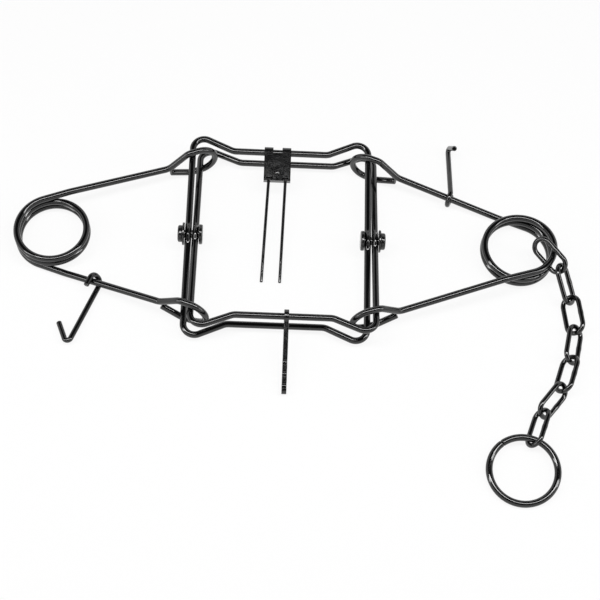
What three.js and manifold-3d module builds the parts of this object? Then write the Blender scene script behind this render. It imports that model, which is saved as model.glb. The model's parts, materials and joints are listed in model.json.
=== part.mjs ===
// Body grip trap, fired and lying flat: two crossed jaws on side rivets, two coil springs whose eyes
// ride on the jaws, a safety hook on each spring, a trigger with two wires, a notched dog, and a
// seven-link chain with an anchor ring. Millimetres, +Z up, X along the rivets, floor at Z = 0.
import * as THREE from "three";
import { mergeVertices } from "three/addons/utils/BufferGeometryUtils.js";
import Module from "manifold-3d";

const wasm = await Module();
wasm.setup();

// Clearances shared by all pieces
const GAP = 0.3;
const CUT_OVERRUN = 2;

// Jaws: square frames of round rod with raised corners
const ROD_DIA = 6.5;
const JAW_WIDTH = 175;
const BAR_TO_BAR = 184;
const BAR_FLAT_HALF = 47;
const CORNER_RADIUS = 11;
const BAR_BEND_RADIUS = 14;
const CORNER_SLOPE = degrees(24);
const JAW_GAP = 0.5;
const BOSS_DIA = 15;
const BOSS_PROUD = 0.1;

// Pivot rivets and washers
const SHANK_DIA = 8;
const HEAD_DIA = 16.5;
const HEAD_THICKNESS = 4.2;
const HEAD_EDGE = 1.1;
const INNER_HEAD_DIA = 19.5;
const INNER_HEAD_THICKNESS = 3.4;
const WASHER_DIA = 22;
const WASHER_THICKNESS = 1.9;

// Springs: torsion coils with two legs, each leg ending in an eye round both jaws
const SPRING_WIRE = 6.5;
const COIL_RADIUS = 33.5;
const COIL_WHOLE_TURNS = 2;
const TURN_GAP = 0.75;
const LEFT_LEG_ANGLE = degrees(19.8);
const RIGHT_LEG_ANGLE = degrees(18.7);
const EYE_FROM_PIVOT = 84.5;
const EYE_WIDTH = 33;
const EYE_SPLIT = 28.5;
const EYE_TAPER = 21.4;
const EYE_BEND_OFFSET = 2.7;
const EYE_GAP = 0.7;
const TAIL_GAP = 0.8;
const TAIL_SETBACK = 3;
const LEG_LEVEL_RUN = 28;
const FLOOR_CUT = 0.5;
const CHAIN_WEDGE = 5.6;
const WEDGE_START = degrees(-10);
const WEDGE_TURN = degrees(130);

// Safety hooks
const HOOK_WIRE = 5.2;
const HOOK_GAP = 0.5;
const HOOK_SHANK = 67.5;
const HOOK_TIP = 28;
const HOOK_BEND_RADIUS = 5;
const HOOK_POINT_RADIUS = 3.2;
const HOOK_TAIL = 9;
const HOOK_TIP_ANGLE = degrees(42);
const LEFT_HOOK = { fromEye: 97, sideStep: 6.4, tailSide: 1, lean: 0, droop: degrees(-3.2) };
const RIGHT_HOOK = { fromEye: 84, sideStep: 2.3, tailSide: -1, lean: degrees(15), droop: degrees(15.95) };

// Trigger on the upper bar of one jaw
const TRIGGER_WIDTH = 26.5;
const TRIGGER_CENTRE_X = -6.5;
const TRIGGER_SHEET = 2;
const TRIGGER_LENGTH = 32;
const KNUCKLE_SLOT = 9;
const KNUCKLE_SLOT_DEPTH = 4.6;
const KNUCKLE_WRAP = degrees(290);
const TRIGGER_FLANGE = 5;
const TRIGGER_WIRE = 3;
const TRIGGER_WIRE_SPACING = 16.6;
const TRIGGER_WIRE_REACH = 135;
const TRIGGER_WIRE_LEAN = degrees(1.6);
const TRIGGER_WIRE_SPREAD = degrees(0.35);
const CLAMP_LENGTH = 12;
const CLAMP_SETBACK = 1.5;
const CLAMP_SHEET = 1.2;
const TRIGGER_RIVET_DIA = 4;
const TRIGGER_RIVET_HEAD = 6;
const TRIGGER_RIVET_HEAD_HEIGHT = 1.4;
const HEAD_CROWN_SHARE = 0.6;

// Dog on the upper bar of the other jaw
const DOG_THICKNESS = 4.6;
const DOG_CENTRE_X = 6.5;
const DOG_EYE_DIA = 13.4;
const DOG_REACH = 73;
const DOG_DEPTH = 8.6;
const DOG_NOTCH_COUNT = 3;
const DOG_NOTCH_PITCH = 11;
const DOG_NOTCH_DEPTH = 2.6;
const DOG_NOTCH_WIDTH = 6;

// Chain links and the anchor ring
const LINK_WIRE = 4.8;
const LINK_INNER_LENGTH = 33.5;
const LINK_INNER_WIDTH = 12.4;
const RING_WIRE = 6.5;
const RING_RADIUS = 31.5;
const RING_SEAM = degrees(237);
const RING_SEAM_GAP = 0.4;

// Facet counts
const ROD_SIDES = 12;
const SPRING_SIDES = 8;
const LINK_SIDES = 8;
const SMALL_SIDES = 8;
const COIL_STEPS = 24;
const ROUND_STEPS = 28;
const SLOW_STEP = degrees(20);

// Angles of the chain as it lies: heading and roll of each link, then the ring's heading and tilt
const FIRST_LINK_FROM_COIL = [28.57, -11.79];
const FIRST_LINK_ABOVE_PIVOT = 6.14;
const FIRST_LINK_SLOPE = degrees(-6.5);
const LINK_HEADINGS = [-50.2, -69.1, -83.7, -102.2, -108.5, -128.2, -109.7].map(degrees);
const LINK_ROLLS = [51, -39.9, 41.8, -42.9, 45.9, -49.9, 54].map(degrees);
const LINK_SLACK = 0.49;
const LINK_FLOOR_GAP = 0.25;
const RING_HEADING = degrees(-110.2);
const RING_TILT = degrees(5.8);

// Sizes worked out from the ones above
const rodRadius = ROD_DIA / 2;
const springRadius = SPRING_WIRE / 2;
const linkRadius = LINK_WIRE / 2;
const ringRadius = RING_WIRE / 2;
const jawPitch = ROD_DIA + JAW_GAP;
const jawHalfWidth = JAW_WIDTH / 2;
const barHeight = BAR_TO_BAR / 2;
const eyeHalf = EYE_WIDTH / 2;
const jawAngle = Math.asin((eyeHalf - springRadius - EYE_GAP - rodRadius) / EYE_FROM_PIVOT);
const coilPitch = SPRING_WIRE + TURN_GAP;
const eyeTaperEnd = EYE_SPLIT - EYE_TAPER;
const leftSpring = springSizes(LEFT_LEG_ANGLE);
const rightSpring = springSizes(RIGHT_LEG_ANGLE);
const floorZ =
  FLOOR_CUT -
  (eyeHalf + springRadius) * Math.cos(rightSpring.tilt) -
  eyeTaperEnd * Math.cos(RIGHT_LEG_ANGLE) * Math.sin(rightSpring.tilt);

function degrees(value) {
  return (value * Math.PI) / 180;
}

function vec(x, y, z) {
  return new THREE.Vector3(x, y, z);
}

// A spring's leg length, coil place, coil turn and tilt to the floor, from the angle of its legs
function springSizes(legAngle) {
  const legLength = (EYE_FROM_PIVOT - COIL_RADIUS * Math.cos(legAngle)) / Math.sin(legAngle);
  const coilX = legLength * Math.cos(legAngle) - COIL_RADIUS * Math.sin(legAngle);
  const tangentAngle = Math.PI / 2 - legAngle;
  const coilTurn = 2 * Math.PI * COIL_WHOLE_TURNS + 2 * tangentAngle;
  const coilHalfHeight = (coilPitch * coilTurn) / (4 * Math.PI);
  const span = coilX + COIL_RADIUS + springRadius - eyeTaperEnd * Math.cos(legAngle);
  const tilt = Math.atan2(eyeHalf - coilHalfHeight, span);
  return { legAngle, legLength, coilX, tangentAngle, coilTurn, coilHalfHeight, tilt };
}

// A route through corner points, each rounded to its own radius, without doubled points
function roundedRoute(corners, loop = false) {
  const route = [];
  const last = corners.length - 1;
  corners.forEach(({ at, radius = 0 }, i) => {
    if (!radius || (!loop && (i === 0 || i === last))) {
      route.push(at.clone());
      return;
    }
    const back = corners[i === 0 ? last : i - 1].at.clone().sub(at).normalize();
    const ahead = corners[i === last ? 0 : i + 1].at.clone().sub(at).normalize();
    const opening = back.angleTo(ahead);
    const turn = Math.PI - opening;
    const centre = back.clone().add(ahead).normalize();
    centre.multiplyScalar(radius / Math.sin(opening / 2)).add(at);
    const reach = radius / Math.tan(opening / 2);
    const from = back.multiplyScalar(reach).add(at).sub(centre);
    const to = ahead.multiplyScalar(reach).add(at).sub(centre);
    const steps = Math.max(1, Math.ceil(turn / SLOW_STEP));
    for (let k = 0; k <= steps; k++) {
      const share = k / steps;
      const point = from.clone().multiplyScalar(Math.sin((1 - share) * turn));
      point.addScaledVector(to, Math.sin(share * turn)).divideScalar(Math.sin(turn));
      route.push(point.add(centre));
    }
  });
  return route.filter((p, i) => i === 0 || p.distanceTo(route[i - 1]) > 1e-3 * p.length());
}

// A closed tube of flat-sided rings along a route. A loop joins its last ring to its first, and
// an open one can end square to a given direction.
function tubeGeometry(route, radius, sides, up, loop = false, lastWay = null) {
  const count = route.length;
  const positions = [];
  const indices = [];
  const normal = up.clone();
  route.forEach((point, i) => {
    const before = route[loop ? (i + count - 1) % count : Math.max(i - 1, 0)];
    const after = route[loop ? (i + 1) % count : Math.min(i + 1, count - 1)];
    const arriving = point.clone().sub(before).normalize();
    const tangent = after.clone().sub(point).normalize().add(arriving).normalize();
    if (lastWay && i === count - 1) tangent.copy(lastWay);
    normal.addScaledVector(tangent, -normal.dot(tangent)).normalize();
    const side = tangent.clone().cross(normal);
    for (let j = 0; j < sides; j++) {
      const angle = (2 * Math.PI * j) / sides;
      const corner = point.clone().addScaledVector(normal, radius * Math.cos(angle));
      positions.push(...corner.addScaledVector(side, radius * Math.sin(angle)).toArray());
    }
  });
  const ringCount = loop ? count : count - 1;
  for (let i = 0; i < ringCount; i++) {
    const near = i * sides;
    const far = ((i + 1) % count) * sides;
    for (let j = 0; j < sides; j++) {
      const next = (j + 1) % sides;
      indices.push(near + j, near + next, far + next, near + j, far + next, far + j);
    }
  }
  if (!loop) {
    positions.push(...route[0].toArray(), ...route[count - 1].toArray());
    const startCentre = count * sides;
    for (let j = 0; j < sides; j++) {
      const next = (j + 1) % sides;
      const lastRing = (count - 1) * sides;
      indices.push(startCentre, next, j, startCentre + 1, lastRing + j, lastRing + next);
    }
  }
  const geometry = new THREE.BufferGeometry();
  geometry.setAttribute("position", new THREE.Float32BufferAttribute(positions, 3));
  geometry.setIndex(indices);
  return geometry;
}

function solidOf(geometry) {
  const bare = geometry.clone();
  bare.deleteAttribute("normal");
  bare.deleteAttribute("uv");
  const merged = mergeVertices(bare);
  const vertProperties = merged.attributes.position.array;
  const triVerts = new Uint32Array(merged.index.array);
  return new wasm.Manifold(new wasm.Mesh({ numProp: 3, vertProperties, triVerts }));
}

function geometryOf(solid) {
  const { vertProperties, triVerts } = solid.getMesh();
  const geometry = new THREE.BufferGeometry();
  geometry.setAttribute("position", new THREE.Float32BufferAttribute(vertProperties, 3));
  geometry.setIndex(Array.from(triVerts));
  return geometry;
}

function joined(first, ...others) {
  return geometryOf(others.reduce((sum, other) => sum.add(solidOf(other)), solidOf(first)));
}

function cut(body, ...tools) {
  return geometryOf(tools.reduce((left, tool) => left.subtract(solidOf(tool)), solidOf(body)));
}

// A cylinder lying along X
function barAlongX(diameter, length, steps = ROUND_STEPS) {
  const bar = new THREE.CylinderGeometry(diameter / 2, diameter / 2, length, steps);
  return bar.rotateZ(Math.PI / 2);
}

// A turned piece along X, from points of radius and X
function turnedAlongX(profile) {
  const points = profile.map(([radius, x]) => new THREE.Vector2(radius, x));
  return new THREE.LatheGeometry(points, ROUND_STEPS).rotateZ(-Math.PI / 2);
}

const paint = (color, roughness) => new THREE.MeshStandardMaterial({ color, roughness, metalness: 0.1 });
const trap = new THREE.Group();

function place(parent, name, geometry, color = 0x0b0b0c, roughness = 0.22) {
  const mesh = new THREE.Mesh(geometry, paint(color, roughness));
  mesh.name = name;
  parent.add(mesh);
  return mesh;
}

// Jaw: one rod bent to a closed frame, with a flattened, pierced boss at each pivot
function jawGeometry() {
  const cornerY = barHeight + (jawHalfWidth - BAR_FLAT_HALF) * Math.tan(CORNER_SLOPE);
  const quarter = [
    { x: BAR_FLAT_HALF, y: barHeight, radius: BAR_BEND_RADIUS },
    { x: jawHalfWidth, y: cornerY, radius: CORNER_RADIUS },
  ];
  const right = [...quarter, ...quarter.toReversed().map((c) => ({ ...c, y: -c.y }))];
  const left = right.toReversed().map((c) => ({ ...c, x: -c.x }));
  const corners = [...right, ...left].map(({ x, y, radius }) => ({ at: vec(x, y, 0), radius }));
  const rod = tubeGeometry(roundedRoute(corners, true), rodRadius, ROD_SIDES, vec(0, 0, 1), true);
  const bossLength = ROD_DIA + 2 * BOSS_PROUD;
  const bosses = [-1, 1].map((s) => {
    return barAlongX(BOSS_DIA, bossLength).translate(s * jawHalfWidth, 0, 0);
  });
  const bores = [-1, 1].map((s) => {
    return barAlongX(SHANK_DIA + 2 * GAP, bossLength + CUT_OVERRUN).translate(s * jawHalfWidth, 0, 0);
  });
  return cut(joined(rod, ...bosses), ...bores);
}

function addJaws() {
  const jaws = new Map();
  for (const [name, s] of [["jaw_trigger_side", 1], ["jaw_dog_side", -1]]) {
    const jaw = new THREE.Group();
    jaw.position.x = (-s * jawPitch) / 2;
    jaw.rotation.x = s * jawAngle;
    place(jaw, name, jawGeometry());
    trap.add(jaw);
    jaws.set(name, jaw);
  }
  return jaws;
}

// Rivets and washers: built for the +X side and turned round for the -X side
function addPivots() {
  const stack = jawHalfWidth + jawPitch / 2 + rodRadius + BOSS_PROUD + GAP;
  const inner = jawHalfWidth - jawPitch / 2 - rodRadius - BOSS_PROUD - GAP;
  const outer = stack + WASHER_THICKNESS + GAP;
  const rivet = [
    [0, inner - INNER_HEAD_THICKNESS],
    [INNER_HEAD_DIA / 2 - HEAD_EDGE, inner - INNER_HEAD_THICKNESS],
    [INNER_HEAD_DIA / 2, inner - INNER_HEAD_THICKNESS + HEAD_EDGE],
    [INNER_HEAD_DIA / 2, inner],
    [SHANK_DIA / 2, inner],
    [SHANK_DIA / 2, outer],
    [HEAD_DIA / 2, outer],
    [HEAD_DIA / 2, outer + HEAD_THICKNESS - HEAD_EDGE],
    [HEAD_DIA / 2 - HEAD_EDGE, outer + HEAD_THICKNESS],
    [0, outer + HEAD_THICKNESS],
  ];
  const bore = SHANK_DIA / 2 + GAP;
  const washer = [
    [bore, stack],
    [WASHER_DIA / 2, stack],
    [WASHER_DIA / 2, stack + WASHER_THICKNESS],
    [bore, stack + WASHER_THICKNESS],
    [bore, stack],
  ];
  for (const [side, turn] of [["left", Math.PI], ["right", 0]]) {
    const pivot = new THREE.Group();
    pivot.rotation.z = turn;
    place(pivot, side + "_pivot_rivet", turnedAlongX(rivet), 0x141415, 0.3);
    place(pivot, side + "_pivot_washer", turnedAlongX(washer), 0x141415, 0.3);
    trap.add(pivot);
  }
}

// Spring frame: origin between the eyes, X out to the coil, Z along the coil's axis before the tilt.
// The -y leg leaves the top of the coil and the +y leg its bottom.
function legFrame({ legAngle }, s) {
  const along = vec(-Math.cos(legAngle), s * Math.sin(legAngle), 0);
  const eye = vec(0, s * EYE_FROM_PIVOT, 0);
  return { along, at: (u, z) => eye.clone().addScaledVector(along, u).add(vec(0, 0, z)) };
}

function springRoute(sizes, s, wedge) {
  const { legLength, coilX, tangentAngle, coilTurn, coilHalfHeight } = sizes;
  const { at } = legFrame(sizes, s);
  const level = -s * coilHalfHeight + wedge;
  const bend = 2 * springRadius + eyeTaperEnd / 2;
  const eye = [
    { at: at(TAIL_SETBACK / 2 - EYE_SPLIT, TAIL_GAP / 2 - SPRING_WIRE - TAIL_GAP) },
    { at: at(-eyeTaperEnd, -eyeHalf), radius: bend },
    { at: at(EYE_BEND_OFFSET + eyeHalf, -eyeHalf), radius: eyeHalf },
    { at: at(EYE_BEND_OFFSET + eyeHalf, eyeHalf), radius: eyeHalf },
    { at: at(-eyeTaperEnd, eyeHalf), radius: bend },
    { at: at(-EYE_SPLIT, 0), radius: bend },
    { at: at(LEG_LEVEL_RUN - legLength, level), radius: COIL_RADIUS },
    { at: at(-legLength, level) },
  ];
  const route = roundedRoute(eye);
  const half = coilTurn / 2 - GAP / 2 / COIL_RADIUS;
  const steps = Math.round((COIL_STEPS * half) / (2 * Math.PI));
  for (let k = 1; k <= steps; k++) {
    const turned = (half * k) / steps;
    const polar = s * (tangentAngle - turned);
    const rise = -s * (coilHalfHeight - (coilPitch * turned) / (2 * Math.PI));
    const faded = THREE.MathUtils.smoothstep(polar, WEDGE_START, WEDGE_START + WEDGE_TURN);
    const z = rise + wedge * (1 - faded);
    route.push(vec(coilX + COIL_RADIUS * Math.cos(polar), COIL_RADIUS * Math.sin(polar), z));
  }
  const lastPolar = s * (tangentAngle - half);
  const round = vec(Math.sin(lastPolar), -Math.cos(lastPolar), coilPitch / (2 * Math.PI * COIL_RADIUS));
  return { route, lastWay: round.multiplyScalar(s).normalize() };
}

// Least gap of a wire to itself, measured between route points that are not neighbours along it
function leastGap(route, diameter) {
  const dense = [];
  route.slice(1).forEach((p, i) => {
    const pieces = Math.ceil(p.distanceTo(route[i]));
    for (let k = 0; k < pieces; k++) dense.push(route[i].clone().lerp(p, k / pieces));
  });
  const lengths = [0];
  dense.slice(1).forEach((p, i) => lengths.push(lengths[i] + p.distanceTo(dense[i])));
  let least = Infinity;
  dense.forEach((p, i) => {
    for (let j = i + 1; j < dense.length; j++) {
      if (lengths[j] - lengths[i] > Math.PI * diameter) least = Math.min(least, p.distanceTo(dense[j]));
    }
  });
  return least - diameter;
}

function floorCutter(frame) {
  const reach = 4 * (rightSpring.coilX + COIL_RADIUS);
  const box = new THREE.BoxGeometry(reach, reach, eyeHalf);
  box.translate(0, 0, floorZ - eyeHalf / 2);
  return box.applyMatrix4(frame.matrixWorld.clone().invert());
}

function addSprings() {
  const springs = new Map();
  const sides = [["left", Math.PI, leftSpring, 0], ["right", 0, rightSpring, CHAIN_WEDGE]];
  for (const [side, turn, sizes, wedge] of sides) {
    const base = new THREE.Group();
    base.rotation.z = turn;
    const frame = new THREE.Group();
    frame.position.x = jawHalfWidth;
    frame.rotation.y = sizes.tilt;
    frame.name = side + "_spring_frame";
    base.add(frame);
    trap.add(base);
    base.updateMatrixWorld(true);
    for (const s of [-1, 1]) {
      const { route, lastWay } = springRoute(sizes, s, s < 0 ? wedge : 0);
      const across = legFrame(sizes, s).along.clone().cross(vec(0, 0, 1));
      const wire = tubeGeometry(route, springRadius, SPRING_SIDES, across, false, lastWay);
      const end = turn ? -s : s;
      const name = side + "_spring_" + (end > 0 ? "rear" : "front") + "_half";
      place(frame, name, cut(wire, floorCutter(frame)));
      console.log(name + " least gap to itself", leastGap(route, SPRING_WIRE).toFixed(2), "mm");
    }
    springs.set(side, frame);
  }
  return springs;
}

// Safety hook: an eye bent round the spring leg, a shank and a short returned tip.
// X runs along the leg to the coil, Y away from the jaws and Z up.
function hookGeometry({ sideStep, tailSide, lean, droop }) {
  const swing = springRadius + HOOK_GAP + HOOK_WIRE / 2;
  const shank = vec(-Math.sin(lean), Math.cos(lean) * Math.cos(droop), -Math.sin(droop)).normalize();
  const tipSide = tailSide > 0 ? vec(1, 0, 0) : vec(0, Math.sin(droop), Math.cos(droop));
  const start = vec(-sideStep / 2, HOOK_WIRE / 2, -tailSide * swing);
  const bend = start.clone().addScaledVector(shank, HOOK_SHANK);
  const tip = bend.clone().addScaledVector(shank, -HOOK_TIP * Math.cos(HOOK_TIP_ANGLE));
  tip.addScaledVector(tipSide, HOOK_TIP * Math.sin(HOOK_TIP_ANGLE));
  const corners = [
    { at: vec(sideStep / 2, HOOK_TAIL, tailSide * swing) },
    { at: vec(sideStep / 2, -swing, tailSide * swing), radius: swing },
    { at: vec(-sideStep / 2, -swing, -tailSide * swing), radius: swing },
    { at: start, radius: HOOK_BEND_RADIUS },
    { at: bend, radius: HOOK_POINT_RADIUS },
    { at: tip },
  ];
  return tubeGeometry(roundedRoute(corners), HOOK_WIRE / 2, SMALL_SIDES, vec(1, 0, 0));
}

function addHooks(springs) {
  const sides = [["left", leftSpring, LEFT_HOOK], ["right", rightSpring, RIGHT_HOOK]];
  for (const [side, sizes, style] of sides) {
    const { at } = legFrame(sizes, 1);
    const run = sizes.legLength - EYE_SPLIT - LEG_LEVEL_RUN;
    const legAt = (u) => at(-u, (-sizes.coilHalfHeight * (u - EYE_SPLIT)) / run);
    const centre = legAt(style.fromEye);
    const toCoil = legAt(style.fromEye + SPRING_WIRE).sub(centre).normalize();
    const outward = vec(Math.sin(sizes.legAngle), Math.cos(sizes.legAngle), 0);
    const hook = framed(toCoil, outward, centre);
    hook.name = side + "_hook_frame";
    place(hook, side + "_safety_hook", hookGeometry(style));
    springs.get(side).add(hook);
  }
}

// A group whose X and Y lie along two given directions, at a place
function framed(alongX, alongY, centre) {
  const group = new THREE.Group();
  const basis = new THREE.Matrix4().makeBasis(alongX, alongY, alongX.clone().cross(alongY));
  group.quaternion.setFromRotationMatrix(basis);
  group.position.copy(centre);
  return group;
}

// A profile in the YZ plane, as wide as given along X
function sideProfile(shape, width) {
  const solid = new THREE.ExtrudeGeometry(shape, {
    depth: width,
    bevelEnabled: false,
    curveSegments: ROUND_STEPS / 2,
  });
  const turned = new THREE.Matrix4().makeBasis(vec(0, 1, 0), vec(0, 0, 1), vec(1, 0, 0));
  return solid.translate(0, 0, -width / 2).applyMatrix4(turned);
}

// Trigger frame: origin on the bar's axis, the plate running to -Y and lying on its Z side
const knuckleInner = rodRadius + GAP;
const plateTop = knuckleInner + TRIGGER_SHEET;
const triggerWireZ = plateTop + GAP + TRIGGER_WIRE / 2;
const clampFar = TRIGGER_SHEET + CLAMP_SETBACK - TRIGGER_LENGTH;
const clampMiddle = clampFar + CLAMP_LENGTH / 2;

function triggerBracket() {
  const wrapEnd = Math.PI / 2 - KNUCKLE_WRAP;
  const shape = new THREE.Shape();
  shape.moveTo(-TRIGGER_LENGTH, knuckleInner);
  shape.lineTo(0, knuckleInner);
  shape.absarc(0, 0, knuckleInner, Math.PI / 2, wrapEnd, true);
  shape.lineTo(plateTop * Math.cos(wrapEnd), plateTop * Math.sin(wrapEnd));
  shape.absarc(0, 0, plateTop, wrapEnd, Math.PI / 2, false);
  shape.lineTo(TRIGGER_SHEET - TRIGGER_LENGTH, plateTop);
  shape.lineTo(TRIGGER_SHEET - TRIGGER_LENGTH, plateTop + TRIGGER_FLANGE);
  shape.lineTo(-TRIGGER_LENGTH, plateTop + TRIGGER_FLANGE);
  const slotFar = plateTop + CUT_OVERRUN;
  const slotLength = slotFar + KNUCKLE_SLOT_DEPTH;
  const slot = new THREE.BoxGeometry(KNUCKLE_SLOT, slotLength, 2 * slotFar);
  slot.translate(0, slotFar - slotLength / 2, 0);
  const holeRadius = TRIGGER_WIRE / 2 + GAP;
  const holeLength = TRIGGER_SHEET + CUT_OVERRUN;
  const wireHoles = [-1, 1].map((s) => {
    const hole = new THREE.CylinderGeometry(holeRadius, holeRadius, holeLength, SMALL_SIDES * 2);
    return hole.translate((s * TRIGGER_WIRE_SPACING) / 2, TRIGGER_SHEET / 2 - TRIGGER_LENGTH, triggerWireZ);
  });
  return cut(sideProfile(shape, TRIGGER_WIDTH), slot, ...wireHoles, triggerRivetHole());
}

function triggerRivetHole() {
  const radius = TRIGGER_RIVET_DIA / 2 + GAP;
  const hole = new THREE.CylinderGeometry(radius, radius, 4 * plateTop, SMALL_SIDES * 2);
  return hole.rotateX(Math.PI / 2).translate(0, clampMiddle, 0);
}

function triggerClamp() {
  const low = plateTop + GAP;
  const roof = low + TRIGGER_WIRE + GAP;
  const inner = TRIGGER_WIRE_SPACING / 2 - TRIGGER_WIRE / 2 - GAP;
  const outer = inner + TRIGGER_WIRE + 2 * GAP;
  const right = [
    [inner, low],
    [inner, roof],
    [outer, roof],
    [outer, low],
    [outer + CLAMP_SHEET, low],
    [outer + CLAMP_SHEET, roof + CLAMP_SHEET],
    [inner - CLAMP_SHEET, roof + CLAMP_SHEET],
    [inner - CLAMP_SHEET, low + CLAMP_SHEET],
  ];
  const left = right.toReversed().map(([x, z]) => [-x, z]);
  const shape = new THREE.Shape([...right, ...left].map(([x, z]) => new THREE.Vector2(x, z)));
  const clamp = new THREE.ExtrudeGeometry(shape, { depth: CLAMP_LENGTH, bevelEnabled: false });
  clamp.rotateX(Math.PI / 2).translate(0, clampFar + CLAMP_LENGTH, 0);
  return cut(clamp, triggerRivetHole());
}

function triggerRivet() {
  const under = knuckleInner - GAP;
  const over = plateTop + GAP + CLAMP_SHEET + GAP;
  const head = TRIGGER_RIVET_HEAD / 2;
  const profile = [
    [0, under - TRIGGER_RIVET_HEAD_HEIGHT],
    [head, under - TRIGGER_RIVET_HEAD_HEIGHT],
    [head, under],
    [TRIGGER_RIVET_DIA / 2, under],
    [TRIGGER_RIVET_DIA / 2, over],
    [head, over],
    [head * HEAD_CROWN_SHARE, over + TRIGGER_RIVET_HEAD_HEIGHT],
    [0, over + TRIGGER_RIVET_HEAD_HEIGHT],
  ];
  const points = profile.map(([radius, z]) => new THREE.Vector2(radius, z));
  const rivet = new THREE.LatheGeometry(points, SMALL_SIDES * 2);
  return rivet.rotateX(Math.PI / 2).translate(0, clampMiddle, 0);
}

function triggerWire(s) {
  const x = (s * TRIGGER_WIRE_SPACING) / 2;
  const free = TRIGGER_WIRE_REACH - TRIGGER_LENGTH;
  const lean = TRIGGER_WIRE_LEAN - s * TRIGGER_WIRE_SPREAD;
  const corners = [
    { at: vec(x, clampFar + CLAMP_LENGTH + TRIGGER_WIRE, triggerWireZ) },
    { at: vec(x, -TRIGGER_LENGTH, triggerWireZ), radius: BAR_BEND_RADIUS },
    { at: vec(x - free * Math.tan(lean), -TRIGGER_WIRE_REACH, triggerWireZ) },
  ];
  return tubeGeometry(roundedRoute(corners), TRIGGER_WIRE / 2, SMALL_SIDES, vec(0, 0, 1));
}

const barAboveFloor = barHeight * Math.sin(jawAngle) - floorZ;

function addTrigger(jaw) {
  const drop = barAboveFloor - TRIGGER_WIRE / 2 - GAP;
  const tilt = Math.asin(drop / Math.hypot(TRIGGER_WIRE_REACH, triggerWireZ));
  const trigger = new THREE.Group();
  trigger.name = "trigger_frame";
  trigger.position.set(TRIGGER_CENTRE_X - jaw.position.x, barHeight, 0);
  trigger.rotation.x = tilt + Math.atan2(triggerWireZ, TRIGGER_WIRE_REACH) - jawAngle;
  place(trigger, "trigger_bracket", triggerBracket(), 0x121213, 0.3);
  place(trigger, "trigger_clamp", triggerClamp(), 0x121213, 0.3);
  place(trigger, "trigger_rivet", triggerRivet(), 0x161617, 0.35);
  place(trigger, "trigger_wire_left", triggerWire(-1));
  place(trigger, "trigger_wire_right", triggerWire(1));
  jaw.add(trigger);
}

// Dog: a flat bar with an eye round the jaw's bar and notches near its free end
function dogGeometry() {
  const half = DOG_DEPTH / 2;
  const end = half - DOG_REACH;
  const shape = new THREE.Shape();
  shape.moveTo(0, half);
  shape.lineTo(end, half);
  shape.absarc(end, 0, half, Math.PI / 2, -Math.PI / 2, false);
  shape.lineTo(0, -half);
  const bar = sideProfile(shape, DOG_THICKNESS);
  const notches = Array.from({ length: DOG_NOTCH_COUNT }, (_, i) => {
    const notch = barAlongX(DOG_NOTCH_WIDTH, DOG_THICKNESS + CUT_OVERRUN, SMALL_SIDES * 2);
    const lift = half + DOG_NOTCH_WIDTH / 2 - DOG_NOTCH_DEPTH;
    return notch.translate(0, end + half + i * DOG_NOTCH_PITCH, lift);
  });
  const bore = barAlongX(ROD_DIA + 2 * GAP, DOG_THICKNESS + CUT_OVERRUN);
  return cut(joined(bar, barAlongX(DOG_EYE_DIA, DOG_THICKNESS)), bore, ...notches);
}

function addDog(jaw) {
  const drop = barAboveFloor - DOG_DEPTH / 2 - GAP;
  const dog = new THREE.Group();
  dog.name = "dog_frame";
  dog.position.set(DOG_CENTRE_X - jaw.position.x, -barHeight, 0);
  dog.rotation.x = Math.asin(drop / (DOG_REACH - DOG_DEPTH / 2)) + jawAngle;
  place(dog, "dog", dogGeometry(), 0x111112, 0.28);
  jaw.add(dog);
}

// Chain: straight links, each hooked through the one before, from the right coil to the ring
function linkGeometry() {
  const x = (LINK_INNER_LENGTH + LINK_WIRE) / 2;
  const y = (LINK_INNER_WIDTH + LINK_WIRE) / 2;
  const corners = [vec(x, -y, 0), vec(x, y, 0), vec(-x, y, 0), vec(-x, -y, 0)];
  const route = roundedRoute(corners.map((at) => ({ at, radius: y })), true);
  return tubeGeometry(route, linkRadius, LINK_SIDES, vec(0, 0, 1), true);
}

function ringGeometry() {
  const steps = ROUND_STEPS + SMALL_SIDES;
  const sweep = 2 * Math.PI - RING_SEAM_GAP / RING_RADIUS;
  const route = Array.from({ length: steps + 1 }, (_, i) => {
    const angle = RING_SEAM + (sweep * i) / steps;
    return vec(RING_RADIUS * Math.cos(angle), RING_RADIUS * Math.sin(angle), 0);
  });
  return tubeGeometry(route, ringRadius, LINK_SIDES, vec(0, 0, 1));
}

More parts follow.
